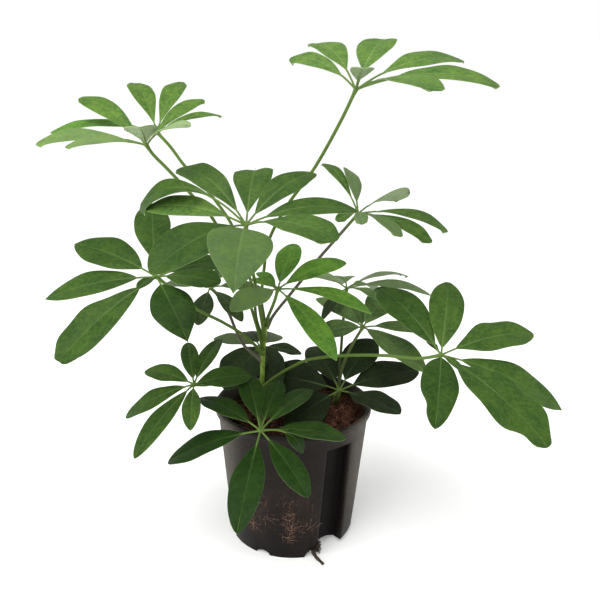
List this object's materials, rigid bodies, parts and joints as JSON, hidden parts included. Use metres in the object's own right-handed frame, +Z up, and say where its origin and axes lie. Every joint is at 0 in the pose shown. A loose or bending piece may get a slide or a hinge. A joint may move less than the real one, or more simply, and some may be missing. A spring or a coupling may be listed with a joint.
{
  "type": "potted umbrella plant",
  "caption": "Potted dwarf umbrella plant: palmate leaves on long stalks, standing in soil in a dark nursery pot with an upright gauge groove and a vented foot.",
  "frame": {"origin": "middle of the pot's foot, on the surface it stands on", "axes": "+Z up, -Y toward the front, +X to the right seen from the front"},
  "size_m": [0.3973, 0.2991, 0.4028],
  "materials": {
    "pot": "satin, dark brown-black",
    "soil": "rough, fibrous, reddish brown",
    "root": "rough, dark brown",
    "stem": "satin, green",
    "leaf_young": "waxy, bright yellow-green",
    "leaf_grown": "waxy, mid green",
    "leaf_old": "waxy, dark blue-green"
  },
  "bodies": {
    "root": {"pot": "pot", "soil": "soil", "root_strand": "root", "stem_main": "stem", "stem_low": "stem", "leaf_top_right": "leaf_grown", "leaf_top_left_front": "leaf_young", "leaf_top_left_back": "leaf_young", "leaf_centre": "leaf_grown", "leaf_left": "leaf_grown", "leaf_lower_left": "leaf_grown", "leaf_front_low": "leaf_grown", "leaf_right": "leaf_grown", "leaf_upper_right": "leaf_grown", "leaf_young_centre": "leaf_young", "leaf_right_behind": "leaf_old", "leaf_far_right": "leaf_old", "leaf_low_right": "leaf_old", "leaf_left_behind": "leaf_old", "leaf_behind_stem": "leaf_old"}
  },
  "joints": []
}
